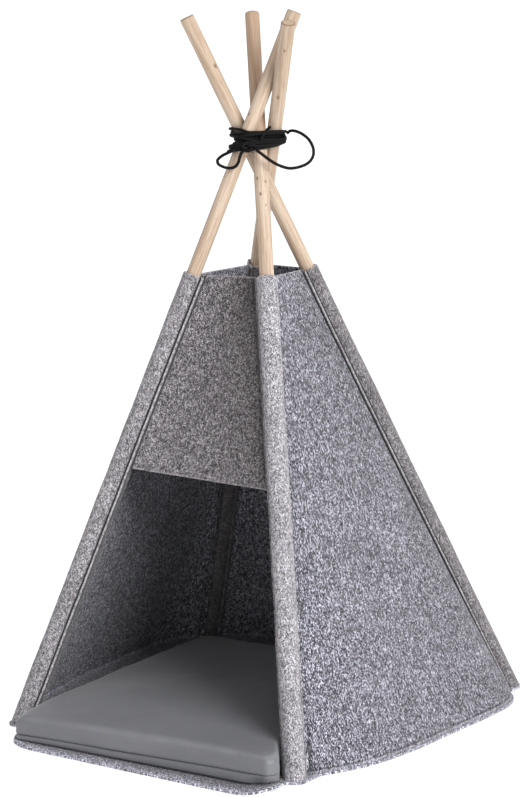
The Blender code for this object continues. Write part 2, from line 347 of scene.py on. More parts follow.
def cushion_material():
    """Smooth plain-woven polyester: half-millimetre threads and a soft sheen."""
    look = Look("cushion_cloth")
    weave = []
    for direction in ("X", "Y", "Z"):
        settings = {"Scale": 320, "Distortion": 1.2, "Detail": 1, "Detail Scale": 2}
        settings["Vector"] = look.place()
        weave.append(look.node("TexWave", "Fac", settings, bands_direction=direction))
    threads = look.maths("ADD", look.maths("ADD", weave[0], weave[1]), weave[2])
    slub = look.noise(look.stretch((1, 0.06, 1)), 700, detail=2)
    spread = look.noise(look.place(), 14, detail=3)
    colour = look.mix(look.clamp(spread, 0.35, 0.65), (0.130, 0.133, 0.146), (0.152, 0.155, 0.170))
    colour = look.mix(look.clamp(slub, 0.45, 0.75, 0.0, 0.35), colour, (0.21, 0.213, 0.225))
    colour = look.mix(look.clamp(threads, 0.6, 2.2, 0.10, 0.0), colour, (0.05, 0.05, 0.054))
    # Painted shade, near black, along the seam and along the base where the cushion meets the
    # floor.
    colour = look.mix(look.value("painted_crease_shade", 0.95), colour, (0.008, 0.008, 0.009))
    # Painted highlight along the top edge.
    colour = look.mix(look.value("painted_ridge_highlight", 0.5), colour, (0.26, 0.265, 0.28))
    normal = look.bump(threads, 0.12, 0.0003)
    normal = look.bump(spread, 0.25, 0.004, normal)
    roughness = look.clamp(slub, 0.3, 0.7, 0.42, 0.52)
    return look.finish(
        colour, roughness, normal, Sheen_Weight=0.25, Sheen_Roughness=0.4, Specular_IOR_Level=0.55
    )


# ---- mesh helpers

# How far a sheet's cut edge stands out past its last points, as a share of its thickness.
EDGE_STAND_OUT = 0.12
# A sheet's inner side takes this share of the outer side's painted shade and crease shade, and
# painted light makes it lighter.
INNER_SHARE = 0.4
INNER_PAINTED_LIGHT = 0.16


def add_mesh(name, places, faces, look, values=None):
    mesh = bpy.data.meshes.new(name)
    mesh.from_pydata([tuple(place) for place in places], [], faces)
    for label, numbers in (values or {}).items():
        layer = mesh.attributes.new(label, "FLOAT", "POINT")
        layer.data.foreach_set("value", np.asarray(numbers, np.float32))
    mesh.materials.append(look)
    mesh.shade_smooth()
    return add_object(name, mesh)


def grid_faces(rows, columns, first=0, flip=False, wrap=False):
    """Quads over points stored row by row. With wrap, the last column joins the first one."""
    faces = []
    for row in range(rows - 1):
        for column in range(columns if wrap else columns - 1):
            after = (column + 1) % columns
            one, two = first + row * columns + column, first + row * columns + after
            quad = (one, two, two + columns, one + columns)
            faces.append(quad[::-1] if flip else quad)
    return faces


def grid_normals(grid):
    """Unit normals of a grid of points, indexed row, column."""
    along_row = np.gradient(grid, axis=1)
    along_column = np.gradient(grid, axis=0)
    normals = np.cross(along_row, along_column)
    return normals / np.linalg.norm(normals, axis=2, keepdims=True)


def wave(place, size, seed):
    """Smooth noise from -1 to 1 with features of about size metres."""
    return noise.noise(Vector(place) / size + Vector((seed, seed * 2.3, seed * 5.1)))


def level_way(angle):
    return Vector((cos(angle), sin(angle), 0))


def bell(distance, centre, width):
    """1 at the centre, and near 0 from about twice the width away."""
    return np.exp(-(((distance - centre) / width) ** 2))


def tube_faces(rings, around):
    """Quads round rings of points stored one after the other, and a face across each end."""
    last = (rings - 1) * around
    ends = [tuple(range(around))[::-1], tuple(range(last, last + around))]
    return grid_faces(rings, around, wrap=True) + ends


def felt_sheet(name, grid, look, outer, inner, values):
    """A closed sheet on a grid of points. Outer and inner are its sides' distances from them."""
    rows, columns = grid.shape[:2]
    normals = grid_normals(grid)
    front = grid + normals * outer[..., None]
    back = grid - normals * inner[..., None]
    count = rows * columns
    border = [(0, column) for column in range(columns)]
    border += [(row, columns - 1) for row in range(1, rows)]
    border += [(rows - 1, column) for column in range(columns - 2, -1, -1)]
    border += [(row, 0) for row in range(rows - 2, 0, -1)]
    rim = []
    for row, column in border:
        inside_row = min(max(row, 1), rows - 2)
        inside_column = min(max(column, 1), columns - 2)
        away = grid[row, column] - grid[inside_row, inside_column]
        away = away / max(np.linalg.norm(away), TINY)
        rim.append(grid[row, column] + away * FELT * EDGE_STAND_OUT)
    places = np.concatenate([front.reshape(-1, 3), back.reshape(-1, 3), np.array(rim)])
    faces = grid_faces(rows, columns) + grid_faces(rows, columns, count, flip=True)
    for index, (row, column) in enumerate(border):
        next_row, next_column = border[(index + 1) % len(border)]
        here, after = row * columns + column, next_row * columns + next_column
        rim_here, rim_after = 2 * count + index, 2 * count + (index + 1) % len(border)
        faces.append((after, here, rim_here, rim_after))
        faces.append((rim_after, rim_here, count + here, count + after))
    stored = {}
    for label, numbers in values.items():
        outer_side = numbers.reshape(-1)
        # A sheet's rim is pale cut felt, partly a painted highlight.
        inner_side, edge = outer_side, [1.0] * len(border)
        if label != "cut":
            inner_side = outer_side * INNER_SHARE - (INNER_PAINTED_LIGHT if label == "painted_shade" else 0)
            edge = [numbers[row, column] for row, column in border]
        stored[label] = np.concatenate([outer_side, inner_side, edge])
    return add_mesh(name, places, faces, look, stored)


# ---- the dowels' axes

def read_axes():
    """By corner: a dowel's foot on the floor, its direction, and where along it its ends are."""
    axes = {}
    for joint in frame["joints"]:
        node = joint["child"]
        if node not in frame["nodes"]:
            continue
        direction = Vector(joint["axis"]).normalized()
        places = [vertex.co for vertex in frame["nodes"][node].data.vertices]
        low = min(place.dot(direction) for place in places)
        high = max(place.dot(direction) for place in places)
        middle = sum(places, Vector()) / len(places)
        foot = middle - direction * (middle.z / direction.z)
        base = foot.dot(direction)
        axes[node.removeprefix("pole_")] = (foot, direction, low - base, high - base)
    return axes


AXES = read_axes()


def point_on_axis(corner, height):
    foot, direction = AXES[corner][:2]
    return foot + direction * (height / direction.z)


# ---- felt panels

# How much higher than level the valance's lower edge is at its left and right ends.
VALANCE_TILT = (0.0030, -0.0045)

# Painted shade: how much darker a panel is everywhere, towards its last corner, and towards the top
# (painted light where the sum is below 0).
WALL_PAINTED_SHADE = (-0.24, 0.31, 0.10)
VALANCE_PAINTED_SHADE = (-0.24, 0.72, 0.22)

# Distances from a seam, a cut edge and a hem, where a panel's points are closest.
SEAM_STEPS = [0, 0.0009, 0.0017, 0.0024, 0.0030, 0.0036, 0.0042, 0.0049, 0.0058, 0.0072, 0.0095]
CUT_STEPS = [0, 0.0005, 0.0012, 0.0021]
HEM_STEPS = [0, 0.0006, 0.0013, 0.0021, 0.0029, 0.0036, 0.0043, 0.0052, 0.0065]
ROW_STEP = 0.0033
ROW_GAP = 0.0025
WALL_COLUMNS = 84
VALANCE_COLUMNS = 62

# (distance from the edge, width, depth) of the groove that a seam draws beside a panel's edge,
# of the stitches above a wall's hem, and of the tuck beside the front right sleeve.
GROOVE = (0.0032, 0.0010, 0.0008)
STITCH = (0.0033, 0.0008, 0.0007)
TUCK = (0.0082, 0.0012, 0.0009)
GROOVE_DEPTH_INSIDE = 0.0006
HEM_PALE = 0.0028
TUCK_HEIGHT = 0.055
# A sheet thins, and its pale fibres show, partly as a painted highlight, within these widths of a
# cut edge.
THIN_WIDTH = 0.0006
PALE_WIDTH = 0.0009


def swell(across, first_power, last_power):
    """How far a lower edge stands out, from 0 at both ends to 1 at the middle."""
    power = np.where(np.asarray(across) < 0.5, first_power, last_power)
    return 1 - abs(2 * np.asarray(across) - 1) ** power


def near_fin(corner, low):
    """The seam of the right wall at the front right dowel, which is narrower than the others."""
    return corner == "front_right" and low == 0


def panel_row(panel, height, distances):
    """Points of a panel at one height, their distances from its left edge, and its width there."""
    left, right, low = panel
    up = (height - low) / (FELT_TOP - low)
    tilt = VALANCE_TILT if low else (0, 0)
    start = point_on_axis(left, height + tilt[0] * (1 - up) ** 2)
    end = point_on_axis(right, height + tilt[1] * (1 - up) ** 2)
    along = (end - start).normalized()
    outward = Vector((along.y, -along.x, 0)).normalized()
    start = start + along * (NEAR_MARGIN if near_fin(left, low) else WALL_MARGIN)
    end = end - along * WALL_MARGIN
    width = (end - start).length
    across = np.array([place / width for place in distances(width)])
    lift = (0 if low else WALL_BULGE) * swell(across, *SWELL[left]) * (1 - up) ** 2
    points = np.array(start) + across[:, None] * np.array(end - start)
    return points + lift[:, None] * np.array(outward), across * width, width


def panel_heights(low):
    foot = max(low, FELT_FOOT)
    lower = CUT_STEPS if low else HEM_STEPS
    first = foot + lower[-1] + ROW_GAP
    last = FELT_TOP - CUT_STEPS[-1] - ROW_GAP
    body = np.linspace(first, last, round((FELT_TOP - foot) / ROW_STEP))
    return np.concatenate([foot + np.array(lower), body, FELT_TOP - np.array(CUT_STEPS[::-1])])


def panel_ripple(grid, beside, above, below, seed):
    """Soft waves of the felt, calm near its seams and its lower edge."""
    free = np.minimum(1, beside / 0.05) * np.minimum(1, above / 0.06)
    free = free * np.minimum(1, below / 0.05 + 0.15)
    ripple = [
        [wave(point, 0.11, seed) * 0.0016 + wave(point, 0.035, seed + 3) * 0.0004 for point in row]
        for row in grid
    ]
    return np.array(ripple) * free


def make_panel(name, panel, look, seed):
    """A felt panel between two sleeves, with painted shade in grooves beside both seams, and pale
    cut edges that are partly a painted highlight.
    """
    left, _, low = panel
    foot = max(low, FELT_FOOT)
    heights = panel_heights(low)

    def distances(width):
        columns = VALANCE_COLUMNS if low else WALL_COLUMNS
        middle = np.linspace(SEAM_STEPS[-1], width - SEAM_STEPS[-1], columns)
        far = [width - step for step in SEAM_STEPS[-2::-1]]
        return np.concatenate([SEAM_STEPS[:-1], middle, far])

    rows, beside, from_left = [], [], []
    for height in heights:
        points, places, width = panel_row(panel, height, distances)
        rows.append(points)
        beside.append(np.minimum(places, width - places))
        from_left.append(places)
    grid, beside, from_left = np.array(rows), np.array(beside), np.array(from_left)
    above = (heights - foot)[:, None] + 0 * beside
    below = (FELT_TOP - heights)[:, None] + 0 * beside
    ripple = panel_ripple(grid, beside, above, below, seed)
    grid = grid + grid_normals(grid) * ripple[..., None]
    groove = bell(beside, *GROOVE[:2])
    from_cut = np.minimum(below, above) if low else below
    thickness = FELT / 2 * (1 - 0.35 * bell(from_cut, 0, THIN_WIDTH))
    outer = thickness - GROOVE[2] * groove
    inner = thickness - GROOVE_DEPTH_INSIDE * groove
    cut = bell(from_cut, 0, PALE_WIDTH) * 0.85
    # Painted shade in the seam grooves, and on a wall in its stitch line and the tuck.
    painted_crease_shade = np.minimum(1, groove * 1.5)
    if low:
        painted_crease_shade = painted_crease_shade * np.where(from_left > 0.03, 0.2, 1.0)
    else:
        stitch = bell(above, *STITCH[:2])
        outer = outer - STITCH[2] * stitch
        painted_crease_shade = np.maximum(painted_crease_shade, stitch * 0.75)
        # A wall's hem is pale at its lower edge, partly a painted highlight.
        cut = np.maximum(cut, 0.5 * (above < HEM_PALE))
    if near_fin(left, low):
        tuck = bell(from_left, *TUCK[:2])
        tuck = tuck * (0.2 + 0.8 * bell(heights, 0, TUCK_HEIGHT))[:, None]
        outer = outer - TUCK[2] * np.minimum(1, tuck)
        painted_crease_shade = np.maximum(painted_crease_shade, np.minimum(1, tuck * 1.4))
    # Painted shade across the panel, and painted light where it is below 0.
    base_shade, last_shade, top_shade = VALANCE_PAINTED_SHADE if low else WALL_PAINTED_SHADE
    rise = (heights[:, None] - low) / (FELT_TOP - low)
    painted_shade = base_shade + last_shade * np.linspace(0, 1, grid.shape[1]) + top_shade * rise
    values = {"cut": cut, "painted_crease_shade": painted_crease_shade, "painted_shade": painted_shade}
    return felt_sheet(name, grid, look, outer, inner, values)


# ---- sleeves

# Half of a seam fin, where the sleeve's two layers grip a panel: (distance from the axis towards
# the panel, distance from the fin's middle plane, painted shade in its grooves, pale cut edge that
# is partly a painted highlight), in millimetres.
FIN = [
    (10.50, 4.30, 0.2, 0.0), (10.80, 3.60, 1.0, 0.0), (11.15, 2.50, 1.0, 0.0),
    (11.80, 2.30, 1.0, 0.0), (12.40, 2.60, 1.0, 0.0), (12.80, 3.50, 0.9, 0.0),
    (13.10, 4.10, 0.0, 0.8), (14.10, 4.20, 0.0, 1.0), (14.80, 3.90, 0.0, 0.9),
    (15.20, 3.20, 0.3, 0.4), (15.40, 2.30, 1.0, 0.0), (15.30, 1.20, 1.0, 0.0),
]
# Inside the tent a fin is flatter, with an even painted shade.
FIN_INSIDE_HALF = 3.4
FIN_INSIDE_PAINTED_SHADE = 0.3
# How far along a panel its fin points.
FIN_AIM = 0.017
# The share of their length that a sleeve's fins keep, to the panel before it and after it.
FIN_KEEPS = {"front_right": (0.35, 0.6)}
# Below this height the fins are drawn in to this radius, by this share at the foot.
FIN_ROOT = 0.0116
FIN_LOW = 0.05
FIN_LOW_SHARE = 0.16

# Painted shade: how much darker the sleeves are outside the tent (painted light where below 0) and
# inside it.
SLEEVE_PAINTED_SHADE = {"front_left": 0.12, "front_right": -0.14, "back_right": 0.40, "back_left": 0.0}
SLEEVE_PAINTED_SHADE_INSIDE = 0.50

SLEEVE_ARC = 20
# How ragged a sleeve's top edge is, and over what length.
RAGGED_TOP = 0.0006
RAGGED_TOPS = {"back_left": 0.0035}
RAGGED_BAND = 0.0015


def fin_directions(corner, height):
    """Square to the axis, towards the panel that ends at a corner and the one that starts there."""
    direction = AXES[corner][1]
    inset = FIN_AIM - WALL_MARGIN
    found = []
    for side in (1, 0):
        panel = next(panel for panel in PANELS.values() if panel[side] == corner)
        level = max(height, panel[2])
        points, _, _ = panel_row(panel, level, lambda width: [width - inset if side else inset])
        towards = Vector(points[0]) - point_on_axis(corner, level)
        found.append((towards - direction * towards.dot(direction)).normalized())
    return found


def fin_side(keep, outside):
    """One side of a fin as (u, v, crease, cut), in metres, keeping this share of its length."""
    side = []
    for u, v, painted_crease_shade, cut in FIN:
        u = FIN[0][0] + (u - FIN[0][0]) * keep
        if keep < 0.5:
            painted_crease_shade *= 0.25
        if not outside:
            v = min(v, FIN_INSIDE_HALF)
            painted_crease_shade, cut = FIN_INSIDE_PAINTED_SHADE, 0.0
        side.append((u / 1000, v / 1000, painted_crease_shade, cut))
    return side


def turned(u, v, angle):
    """A point turned round the axis."""
    return u * cos(angle) - v * sin(angle), u * sin(angle) + v * cos(angle)


def sleeve_outline(corner, keeps, turn, shrink):
    """A section of a sleeve from its first fin round, as (u, v, crease, cut, shade).

    Turn is the angle from the first fin to the second, and shrink draws both fins in.
    """
    outline = []
    for start, end in ((0.0, turn), (turn, 2 * pi)):
        outside = start > 0
        first_keep, last_keep = keeps[::-1] if outside else keeps
        leaving = fin_side(first_keep, outside)
        points = leaving[::-1]
        spread = atan2(leaving[0][1], leaving[0][0])
        reach = hypot(leaving[0][0], leaving[0][1])
        gap = end - start
        for step in range(1, SLEEVE_ARC):
            part = step / SLEEVE_ARC
            angle = spread + (gap - 2 * spread) * part
            radius = SLEEVE_OUTER + (reach - SLEEVE_OUTER) * abs(2 * part - 1) ** 8
            points.append((radius * cos(angle), radius * sin(angle), 0.0, 0.0))
        for u, v, painted_crease_shade, cut in fin_side(last_keep, outside):
            points.append((*turned(u, -v, gap), painted_crease_shade, cut))
        # Painted shade, by corner outside the tent and darker inside it.
        painted_shade = SLEEVE_PAINTED_SHADE[corner] if outside else SLEEVE_PAINTED_SHADE_INSIDE
        for u, v, painted_crease_shade, cut in points:
            length = hypot(u, v)
            if length > FIN_ROOT:
                drawn = FIN_ROOT + (length - FIN_ROOT) * shrink
                u, v = u * drawn / length, v * drawn / length
            outline.append((*turned(u, v, start), painted_crease_shade, cut, painted_shade))
    return outline


def make_sleeve(corner, look, seed):
    """A felt tube round the dowel with two fins, cut square at the top and level below."""
    foot, direction = AXES[corner][:2]
    top = FELT_TOP / direction.z
    heights = [0, 0.0006, 0.0014, 0.0026]
    heights += list(np.linspace(0.005, top - 0.005, 190))
    heights += [top - 0.0024, top - 0.0012, top - 0.0005, top]
    one, two = fin_directions(corner, 0.2)
    order = 1 if one.cross(two).dot(direction) > 0 else -1
    keeps = FIN_KEEPS.get(corner, (1.0, 1.0))[::order]
    ragged = RAGGED_TOPS.get(corner, RAGGED_TOP)
    places, inner_places = [], []
    painted_crease_shade, cut, painted_shade = [], [], []

    def sheared(point, centre, along):
        """The point moved along the dowel: level with its centre at the foot, square at the top."""
        rise = (FELT_FOOT if along < TINY else centre.z) - point.z
        return point + direction * (rise / direction.z * (1 - along / top))

    for along in heights:
        height = max(along * direction.z, FELT_FOOT)
        side, other = fin_directions(corner, height)[::order]
        across = direction.cross(side)
        turn = atan2(other.dot(across), other.dot(side)) % (2 * pi)
        shrink = 1 - FIN_LOW_SHARE * max(0, 1 - height / FIN_LOW)
        outline = sleeve_outline(corner, keeps, turn, shrink)
        soft = 1 - 0.06 * bell(min(along, top - along), 0, THIN_WIDTH)
        centre = foot + direction * along
        for u, v, dark, pale, darker in outline:
            offset = side * u * soft + across * v * soft
            point = centre + offset
            lumps = wave(point, 0.012, seed) * 0.00022 + wave(point, 0.05, seed + 1) * 0.0005
            point = point + offset.normalized() * lumps
            if top - along < RAGGED_BAND:
                point = point + direction * (ragged * (0.6 + wave(point, 0.006, seed)))
            places.append(sheared(point, centre, along))
            painted_crease_shade.append(dark)
            # The sleeve's top edge is pale, partly a painted highlight.
            cut.append(max(pale * 0.8, 0.9 * bell(top - along, 0, PALE_WIDTH)))
            painted_shade.append(darker)
        for index in range(len(outline)):
            angle = 2 * pi * index / len(outline)
            offset = (side * cos(angle) + across * sin(angle)) * SLEEVE_INNER
            inner_places.append(sheared(centre + offset, centre, along))
    around, count = len(outline), len(places)
    faces = grid_faces(len(heights), around, wrap=True)
    faces += grid_faces(len(heights), around, count, flip=True, wrap=True)
    last = count - around
    for index in range(around):
        after = (index + 1) % around
        faces.append((after, index, count + index, count + after))
        faces.append((last + index, last + after, count + last + after, count + last + index))
    return add_mesh("felt_sleeve_" + corner, places + inner_places, faces, look, {
        "painted_crease_shade": painted_crease_shade + [0.0] * count,
        "cut": cut + [0.0] * last + [1.0] * around,
        "painted_shade": painted_shade + [0.0] * count,
    })


# ---- floor panel

# How far the floor reaches past the walls' lower edges, and round each dowel's foot.
FLOOR_HEM = 0.0025
FLOOR_CORNER_RADIUS = 0.0130
FLOOR_CENTRE = np.array([0, 0.0125, 0])
# Its points follow the edge at these distances, and then these shares of the outline.
FLOOR_EDGE_STEPS = [0, 0.0006, 0.0013, 0.0024, 0.0045, 0.008]
FLOOR_SHARES = list(np.linspace(0.955, 0.04, 46))
# Painted shade over the floor, painted light along its edge, and over what width.
FLOOR_PAINTED_SHADE = 0.22
FLOOR_EDGE_PAINTED_LIGHT = 1.25
FLOOR_EDGE_WIDTH = 0.011


def floor_outline():
    """An arc round each dowel's foot, and the bow from it to the next one."""
    arc_steps, side_steps = 8, 72
    points = []
    for index, corner in enumerate(CORNERS):
        before, after = CORNERS[index - 1], CORNERS[(index + 1) % 4]
        here, there, back = (AXES[name][0] for name in (corner, after, before))
        arriving = (here - back).normalized()
        leaving = (there - here).normalized()
        start_angle = atan2(-arriving.x, arriving.y)
        turn = arriving.xy.angle_signed(leaving.xy)
        for step in range(arc_steps + 1):
            angle = start_angle - turn * step / arc_steps
            points.append(here + level_way(angle) * FLOOR_CORNER_RADIUS)
        outward = Vector((leaving.y, -leaving.x, 0))
        is_lip = corner == "front_left"
        start = here + leaving * WALL_MARGIN
        end = there if is_lip else there - leaving * WALL_MARGIN
        bulge = LIP_BULGE if is_lip else WALL_BULGE
        for step in range(1, side_steps):
            across = (1 - cos(pi * step / side_steps)) / 2
            reach = FLOOR_HEM + bulge * float(swell(across, *SWELL[corner]))
            reach = max(FLOOR_CORNER_RADIUS, reach)
            points.append(start.lerp(end, across) + outward * reach)
    return points


def make_floor(look):
    """The floor panel as rings: out over its top, round its ragged edge, and back in below."""
    outline = [np.array(point) for point in floor_outline()]
    places, cut, painted_shade = [], [], []
    # The last value of each level is how pale its cut edge is, partly a painted highlight.
    levels = [(share, 0, FELT, 0) for share in FLOOR_SHARES[::-1]]
    for inset in FLOOR_EDGE_STEPS[::-1]:
        rounded = 0 if inset > 0.0005 else 0.0003
        levels.append((1, inset + 0.0006, FELT - rounded, 0.3 if inset < 0.002 else 0))
    levels.append((1, 0.0003, FELT * 0.55, 0.3))
    levels.append((1, 0.0006, 0, 0.3))
    levels += [(share, 0, 0, 0) for share in FLOOR_SHARES]
    for share, inset, z, pale in levels:
        for point in outline:
            away = point - FLOOR_CENTRE
            length = np.linalg.norm(away)
            ragged = 0
            if share == 1:
                ragged = wave(point, 0.006, 2.0) * 0.0005 + wave(point, 0.03, 4.0) * 0.0004
            place = FLOOR_CENTRE + away * (share - (inset - ragged) / length)
            lift = wave(place, 0.05, 6.0) * 0.0002 if z > 0.002 else 0
            places.append((place[0], place[1], z + lift))
            cut.append(pale)
            # Painted shade over the floor, and painted light along its edge.
            depth = length * (1 - share) + inset
            painted_shade.append(FLOOR_PAINTED_SHADE - FLOOR_EDGE_PAINTED_LIGHT * bell(depth, 0, FLOOR_EDGE_WIDTH))
    faces = [face[::-1] for face in tube_faces(len(levels), len(outline))]
    values = {"cut": cut, "painted_crease_shade": [0.0] * len(places), "painted_shade": painted_shade}
    return add_mesh("felt_floor", places, faces, look, values)


# ---- dowels

# (distance from the dowel's top end, degrees round it, size) of each knot.
KNOTS = {
    "front_right": [
        (0.193, 268, 0.0022), (0.197, 338, 0.0018), (0.211, 290, 0.0022), (0.224, 330, 0.0014)
    ],
    "back_right": [(0.060, 350, 0.0030)],
    "front_left": [(0.120, 250, 0.0020)],
    "back_left": [(0.030, 300, 0.0018), (0.085, 295, 0.0022)],
}
# Painted shade, darker and redder wood, above the lashing, within this length of the top end.
UPPER_PAINTED_SHADE = {"front_right": 0.42}
UPPER_LENGTH = 0.16
# (distance from the end, share of the radius) of the rings of a dowel's end.
DOWEL_END = [
    (0, 0.0), (0, 0.35), (0, 0.7), (0, 0.87), (0.0002, 0.93), (0.0007, 0.975), (0.0014, 1)
]
DOWEL_SIDES = 48
# The wood's relief stays just inside the dowel's radius.
RELIEF_HEIGHT = 0.00007
RELIEF_DROP = 1.3
KNOT_DEPTH = 0.0004


def knot_mark(corner, angle, below_top):
    """How much of a knot there is at a place on a dowel, from 0 to 1."""
    mark = 0.0
    for from_top, degrees, size in KNOTS[corner]:
        turn = (radians(degrees) - angle + pi) % (2 * pi) - pi
        apart = hypot(turn * DOWEL_RADIUS * 1.6, below_top - from_top)
        mark = max(mark, exp(-((apart / size) ** 4)))
    return mark


def make_dowel(corner, look, seed):
    """A dowel turned on its own Z, so that the grain follows it, with small flats and knots."""
    foot, direction, low, high = AXES[corner]
    length = high - low
    middle = list(np.linspace(0.004, length - 0.004, 200))
    for from_top, _, size in KNOTS[corner]:
        middle += list(length - from_top + np.linspace(-2.2, 2.2, 15) * size)
    profile = DOWEL_END + [(place, 1) for place in sorted(middle)]
    profile += [(length - place, reach) for place, reach in DOWEL_END[::-1]]
    places, knot, end, rim, painted_upper_shade = [], [], [], [], []
    for along, reach in profile:
        for step in range(DOWEL_SIDES):
            angle = 2 * pi * step / DOWEL_SIDES
            way = level_way(angle)
            mark = knot_mark(corner, angle, length - along)
            place = way * (DOWEL_RADIUS * max(reach, 0.02)) + Vector((0, 0, along))
            relief = wave((place.x, place.y, along * 0.25), 0.004, seed) - RELIEF_DROP
            relief = relief * RELIEF_HEIGHT * (reach > 0.9)
            places.append(place + way * (relief - mark * KNOT_DEPTH))
            knot.append(mark)
            end.append(1.0 if reach < 0.9 else 0.0)
            rim.append(1.0 if 0.8 < reach < 1 else 0.0)
            painted_upper_shade.append(UPPER_PAINTED_SHADE.get(corner, 0.0) if length - along < UPPER_LENGTH else 0.0)
    values = {"knot": knot, "end": end, "rim": rim, "painted_upper_shade": painted_upper_shade}
    faces = tube_faces(len(profile), DOWEL_SIDES)
    made = add_mesh("dowel_" + corner, places, faces, look, values)
    turn = Vector((0, 0, 1)).rotation_difference(direction)
    made.matrix_world = Matrix.Translation(foot + direction * low) @ turn.to_matrix().to_4x4()
    return made


# ---- lashing

# The bow faces the front right. Its routes are (right, up from the floor, to the front), in
# millimetres, as in part.py.
BOW_RIGHT = Vector((0.822, 0.569, 0))
BOW_FRONT = Vector((0.569, -0.822, 0))
RIGHT_LOOP = [
    (50, 642, -12), (55, 645.5, -9), (64, 643.5, -4), (73, 637, 1), (78, 628, 5), (78, 619, 8),
    (73, 612, 11), (64, 608, 13), (54, 606.5, 15), (46, 608, 16), (37, 612, 17), (29, 617.5, 17.5),
    (22, 623, 17), (16, 627.5, 17),
]
LEFT_LOOP = [
    (-5.5, 628, 17), (-14, 624.5, 16), (-21, 621, 15), (-25.5, 616.5, 14.5), (-24, 612, 14.5),
    (-18, 609, 15), (-12, 608, 15.5), (-6.5, 609.5, 16), (-3, 614, 16.5), (-1.5, 619, 17),
    (0.5, 624, 17), (4, 628, 17),
]
TAIL = [(21, 637, 10), (24, 642, 9), (27, 646, 7.5), (30, 649, 7), (33, 651.5, 7)]
KNOT_CENTRE = Vector((8.5, 630, 17.2))
KNOT_SIZE = (2.6, 1.35, 2.1)
KNOT_STEPS = 60

# The threads of the cord's sheath wind round it both ways.
CORD_STEP = 0.0008
CORD_SIDES = 16
BRAID_STRANDS = 4
BRAID_TURN = 1500
BRAID_RELIEF = 0.07


def bow_point(place):
    right, up, front = (value / 1000 for value in place)
    return BOW_RIGHT * right + BOW_FRONT * front + Vector((0, 0, up))


def smooth_route(points, steps):
    """Points along a Catmull-Rom curve through the route's own points."""
    ends = [points[0] * 2 - points[1], *points, points[-1] * 2 - points[-2]]
    route = []
    for index in range(len(points) - 1):
        before, start, end, after = ends[index : index + 4]
        for step in range(steps):
            t = step / steps
            bend = start * 2 + (end - before) * t
            bend += (before * 2 - start * 5 + end * 4 - after) * t**2
            bend += (start * 3 - before - end * 3 + after) * t**3
            route.append(bend / 2)
    return [*route, points[-1]]


def even_route(points, step):
    """The same line with its points a fixed distance apart."""
    line = np.array([tuple(point) for point in points])
    lengths = np.concatenate([[0], np.cumsum(np.linalg.norm(np.diff(line, axis=0), axis=1))])
    wanted = np.linspace(0, lengths[-1], max(3, round(lengths[-1] / step) + 1))
    return np.stack([np.interp(wanted, lengths, line[:, axis]) for axis in range(3)], axis=1)


def braided_tube(name, points, look):
    """A tube of braided cord along the points, with round ends, and its even line of points."""
    line = even_route(points, CORD_STEP)
    tangents = np.gradient(line, axis=0)
    tangents /= np.linalg.norm(tangents, axis=1, keepdims=True)
    side = np.cross(tangents[0], (0.3, 0.2, 0.93))
    side /= np.linalg.norm(side)
    places, braid = [], []
    last = len(line) - 1
    for index, (place, tangent) in enumerate(zip(line, tangents)):
        side = side - tangent * side.dot(tangent)
        side /= np.linalg.norm(side)
        other = np.cross(tangent, side)
        along = index * CORD_STEP
        from_end = min(index, last - index) * CORD_STEP
        taper = sqrt(max(0.0, 1 - max(0, 1 - from_end / CORD_RADIUS) ** 2))
        for step in range(CORD_SIDES):
            angle = 2 * pi * step / CORD_SIDES
            one = sin(BRAID_STRANDS * angle + along * BRAID_TURN)
            two = sin(BRAID_STRANDS * angle - along * BRAID_TURN)
            relief = max(one, two)
            reach = CORD_RADIUS * (1 - BRAID_RELIEF * (1 - relief)) * max(taper, 0.05)
            places.append(place + (side * cos(angle) + other * sin(angle)) * reach)
            braid.append(0.5 + 0.5 * relief)
    faces = tube_faces(len(line), CORD_SIDES)
    return add_mesh(name, places, faces, look, {"braid": braid}), line


def bundle_support(height, angle):
    """How far the four dowels reach from the Z axis at a height, in a level direction."""
    way = level_way(angle)
    reaches = []
    for corner in CORNERS:
        axis = AXES[corner][1]
        lean = Vector((axis.x, axis.y, 0)).normalized()
        stretch = (DOWEL_RADIUS / axis.z) ** 2 - DOWEL_RADIUS**2
        oval = sqrt(DOWEL_RADIUS**2 + stretch * lean.dot(way) ** 2)
        reaches.append(point_on_axis(corner, height).dot(way) + oval)
    return max(reaches)


def bundle_corner(height, spare, index):
    """One corner of a level loop pulled tight round the dowels, with some spare room."""
    step = 2 * pi / TURN_SIDES
    first, second = index * step, (index + 1) * step
    reach_one = bundle_support(height, first) + spare
    reach_two = bundle_support(height, second) + spare
    x = (reach_one * sin(second) - reach_two * sin(first)) / sin(step)
    y = (reach_two * cos(first) - reach_one * cos(second)) / sin(step)
    return Vector((x, y, height))


# (height in the middle, rise towards the bow's right, layer, phase) of each turn, in metres.
TURNS = [
    (0.6276, 0.0022, 0.0, 0.0), (0.6306, 0.0016, 0.0, 0.9), (0.6338, 0.0008, 0.0, 2.1),
    (0.6370, 0.0000, 0.0, 3.0), (0.6402, -0.0008, 0.0, 4.2), (0.6434, -0.0014, 0.0, 5.1),
    (0.6462, -0.0022, 0.0, 1.4), (0.6425, 0.0020, 1.0, 2.5), (0.6385, -0.0030, 1.0, 4.6),
    (0.6345, 0.0036, 1.0, 0.6), (0.6320, 0.0030, 1.0, 3.6), (0.6290, 0.0040, 1.0, 5.0),
]
TURN_SIDES = 64
# Where a turn starts, from the bow's right, and its share that stays level.
TURN_START = pi * 0.6
TURN_LEVEL = 0.6
# From the dowels to the cord's middle, and on to the second layer's, in cord radii.
FIRST_LAYER = 1.1
NEXT_LAYER = 1.75


